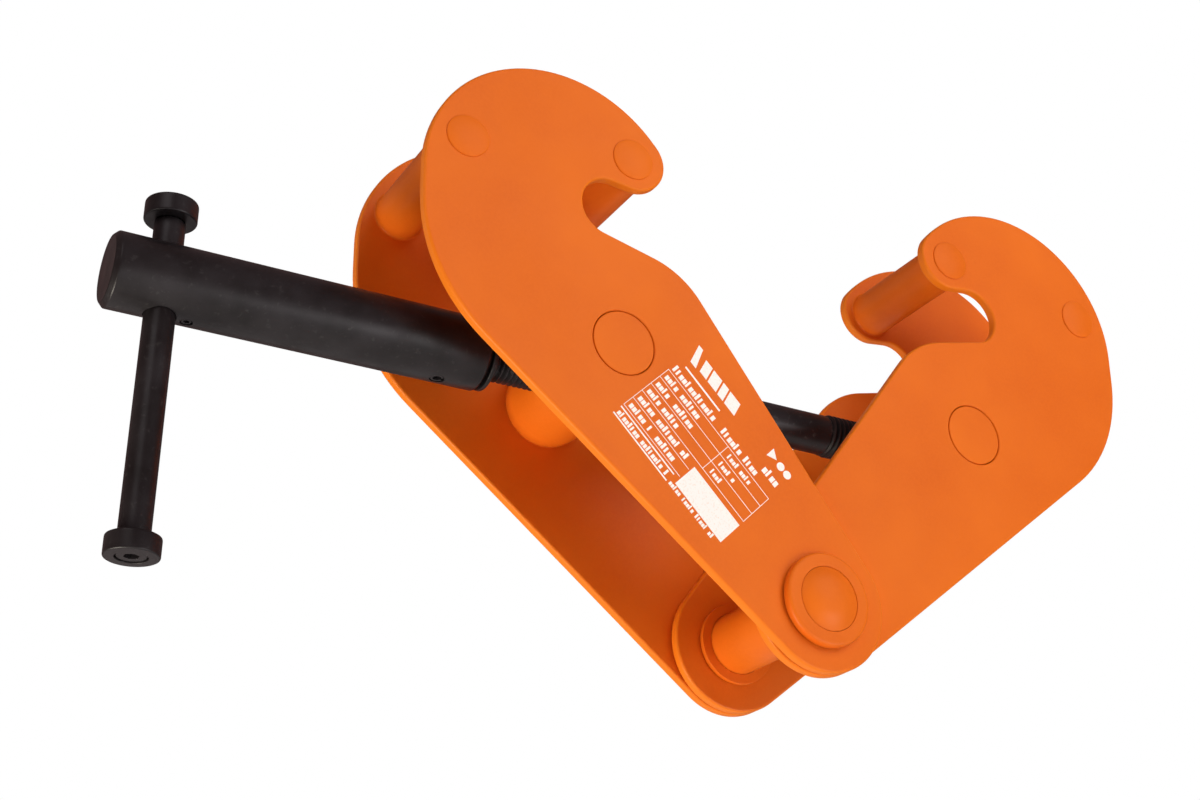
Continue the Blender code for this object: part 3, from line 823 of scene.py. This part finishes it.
def grub_screw():
    """A headless screw with a hexagon socket in its outer end."""
    low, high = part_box("grub_screw")
    r = (high.x - low.x) / 2.0
    half = (high.z - low.z) / 2.0
    profile = both_ends(eased([(0.0, half, 0.0), (r, half, 0.4 * MM)]))
    centre = Matrix.Translation((low + high) / 2.0)
    piece = turned("bar_grub_screw", profile, centre, BLACK, 32)
    mouth = centre @ Matrix.Translation((0.0, 0.0, -half))
    shade(drill(piece, [(mouth, 1.1 * MM, 2.0 * MM, 6)], 0.12 * MM))
    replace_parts(piece, "grub_screw")
    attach(piece, "spindle")


sleeve()
spring_pin()
grub_screw()


# ------------------------------------------------------------------ rings on the rod
# A loose thrust ring sits between the sleeve and the outer trunnion.  Near the rod's other end a
# ring and a cross pin stop the inner jaw from running off the thread.  All are small blackened
# turnings.

RING_R = 12.0 * MM
RING_BORE = 8.2 * MM
RING_EASE = 0.3 * MM
STOP_PIN_EASE = 0.4 * MM


def rod_ring(name, cad_node, body):
    low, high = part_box(cad_node)
    profile = eased([(RING_BORE, high.x, 0.15 * MM), (RING_R, high.x, RING_EASE),
                     (RING_R, low.x, RING_EASE), (RING_BORE, low.x, 0.15 * MM)])
    piece = shade(turned(name, profile, AXIS, BLACK, closed=True))
    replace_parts(piece, cad_node)
    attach(piece, body)


def stop_pin():
    low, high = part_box("stop_pin")
    r = (high.x - low.x) / 2.0
    half = (high.z - low.z) / 2.0
    profile = both_ends(eased([(0.0, half, 0.0), (r, half, STOP_PIN_EASE)]))
    place = Matrix.Translation((low + high) / 2.0)
    piece = shade(turned("end_stop_pin", profile, place, BLACK, 40))
    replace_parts(piece, "stop_pin")
    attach(piece, "spindle")


rod_ring("thrust_washer", "thrust_ring", "thrust_ring")
rod_ring("end_stop_ring", "stop_ring", "spindle")
stop_pin()


# ------------------------------------------------------------------ tommy bar
# A plain blackened steel bar slides through the sleeve as the handle.  A thick disc is bolted on
# each end by a socket-head screw sunk in a counterbore, and keeps the bar from falling out.

TOMMY_R = 5.0 * MM
TOMMY_STEP = 4.0 * MM
CAP_EASE = 0.75 * MM
CAP_WELL_R = 5.0 * MM
CAP_WELL_DEPTH = 4.0 * MM
CAP_BORE = 3.2 * MM
HEAD_EASE = 0.45 * MM
HEAD_SUNK = 0.4 * MM
NECK_R = 3.0 * MM
HEAD_SOCKET_R = 2.45 * MM
HEAD_SOCKET_DEPTH = 2.2 * MM


def tommy_bar():
    low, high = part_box("tommy_bar")
    half = (high.z - low.z) / 2.0
    top = eased([(0.0, half, 0.0), (TOMMY_R, half, 0.5 * MM)])
    top += [(TOMMY_R, h) for h in lengths(half - 1.0 * MM, 0.0, TOMMY_STEP)[:-1]]
    place = Matrix.Translation((low + high) / 2.0)
    piece = shade(turned("sliding_tommy_bar", both_ends(top), place, BLACK))
    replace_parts(piece, "tommy_bar")
    return piece


def tommy_end(end, up):
    """The disc and its screw at one end; up is 1 at the top and -1 at the bottom."""
    low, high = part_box(f"tommy_cap_{end}")
    half = (high.z - low.z) / 2.0
    rim = (high.x - low.x) / 2.0
    place = Matrix.Translation((low + high) / 2.0)
    if up < 0.0:
        place = place @ Matrix.Rotation(pi, 4, "X")
    well = half - CAP_WELL_DEPTH
    profile = eased([(CAP_WELL_R, half, 0.25 * MM), (rim, half, CAP_EASE), (rim, -half, CAP_EASE),
                     (CAP_BORE, -half, 0.2 * MM), (CAP_BORE, well, 0.0), (CAP_WELL_R, well, 0.0)])
    disc = shade(turned(f"tommy_disc_{end}", profile, place, BLACK, closed=True))
    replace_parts(disc, f"tommy_cap_{end}")
    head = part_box(f"cap_screw_{end}")
    face = half - HEAD_SUNK
    shank = face - (head[1].z - head[0].z)
    r = (head[1].x - head[0].x) / 2.0
    profile = eased([(0.0, face, 0.0), (r, face, HEAD_EASE), (r, well, 0.0), (NECK_R, well, 0.0),
                     (NECK_R, shank, 0.4 * MM), (0.0, shank, 0.0)])
    screw = turned(f"socket_screw_{end}", profile, place, BLACK, 48)
    mouth = place @ Matrix.Translation((0.0, 0.0, face))
    shade(drill(screw, [(mouth, HEAD_SOCKET_R, HEAD_SOCKET_DEPTH, 6)], 0.15 * MM))
    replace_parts(screw, f"cap_screw_{end}")
    return disc, screw


for piece in (tommy_bar(), *tommy_end("upper", 1.0), *tommy_end("lower", -1.0)):
    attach(piece, "tommy_bar")


# ------------------------------------------------------------------ studio
# The clamp hangs in a white studio over a pale matt floor.  A broad soft light stands high on the
# right and a weaker one high on the left.  Two low ones lift the undersides and the left edges,
# and two stand behind the clamp.

FLOOR_Z = -0.75
FLOOR_R = 7.0
FLOOR_TONE = (0.84, 0.86, 0.86)
FLOOR_GLOW = 0.55                 # lifts the floor to the eye, without lighting the clamp
WHITE = (1.0, 1.0, 1.0)
EDGE_LAMP_COLOUR = (1.0, 0.95, 0.80)
WALL_GLOW = (1.0, 0.60, 0.58)
WALL_LIGHT = 0.17                 # how brightly the white surroundings light the clamp
LOOK_AT = Vector((-0.068, 0.0, 0.0725))
CAMERA_DISTANCE = 0.63
CAMERA_AZIMUTH = -28.5
CAMERA_ELEVATION = -25.0
LENS = 54.0


def floor():
    made, tree, shader = new_finish("matt_floor")
    tone = tinted(tree, grain(tree, 3.0), FLOOR_TONE, tuple(0.98 * part for part in FLOOR_TONE))
    tree.links.new(tone, shader["Base Color"])
    tree.links.new(tone, shader["Emission Color"])
    seen = tree.nodes.new("ShaderNodeLightPath").outputs["Is Camera Ray"]
    tree.links.new(between(tree, seen, 0.0, 1.0, 0.0, FLOOR_GLOW), shader["Emission Strength"])
    shader["Roughness"].default_value = 0.9
    shape = bmesh.new()
    bmesh.ops.create_circle(shape, cap_ends=True, segments=96, radius=FLOOR_R)
    add("studio_floor", shape, Matrix.Translation((0.0, 0.0, FLOOR_Z)), made)


def surroundings():
    """White all round for the eye, dim and warm as a light, so that the lamps shape the clamp."""
    world = bpy.data.worlds.new("white_studio")
    bpy.context.scene.world = world
    world.use_nodes = True
    tree = world.node_tree
    seen = tree.nodes.new("ShaderNodeLightPath").outputs["Is Camera Ray"]
    wall = tree.nodes["Background"]
    tree.links.new(tinted(tree, seen, WALL_GLOW, WHITE), wall.inputs["Color"])
    tree.links.new(between(tree, seen, 0.0, 1.0, WALL_LIGHT, 1.0), wall.inputs["Strength"])


def towards(azimuth, elevation):
    """The direction from the clamp to a place in the studio; both angles are in degrees."""
    a, e = radians(azimuth), radians(elevation)
    return Vector((sin(a) * cos(e), -cos(a) * cos(e), sin(e)))


def softbox(name, azimuth, elevation, distance, size, power, glare=True, colour=WHITE):
    """A square soft light aimed at the clamp; one without glare is polarised."""
    lamp = bpy.data.lights.new(name, "AREA")
    lamp.shape = "SQUARE"
    lamp.size = size
    lamp.energy = power
    lamp.color = colour
    made = bpy.data.objects.new(name, lamp)
    bpy.context.scene.collection.objects.link(made)
    back = towards(azimuth, elevation)
    made.location = LOOK_AT + back * distance
    made.rotation_euler = back.to_track_quat("Z", "Y").to_euler()
    made.visible_glossy = glare


floor()
surroundings()
softbox("key_softbox", 24.0, 30.0, 1.9, 1.3, 23.5, glare=False)
softbox("left_softbox", -42.0, 34.0, 1.9, 1.0, 4.0)
softbox("low_softbox", 32.0, -22.0, 1.6, 0.8, 9.0)
softbox("edge_softbox", -91.0, -45.0, 0.75, 0.34, 4.6, colour=EDGE_LAMP_COLOUR)
softbox("back_softbox", 150.0, 30.0, 2.1, 1.4, 20.0, glare=False)
softbox("far_softbox", -122.0, 18.0, 2.1, 1.2, 7.0, glare=False)

back = towards(CAMERA_AZIMUTH, CAMERA_ELEVATION)
lens = bpy.data.cameras.new("studio_camera")
lens.lens = LENS
lens.clip_start = 0.01
camera = bpy.data.objects.new("studio_camera", lens)
bpy.context.scene.collection.objects.link(camera)
camera.location = LOOK_AT + back * CAMERA_DISTANCE
camera.rotation_euler = back.to_track_quat("Z", "Y").to_euler()
bpy.context.scene.camera = camera
bpy.context.scene.view_settings.view_transform = "Standard"
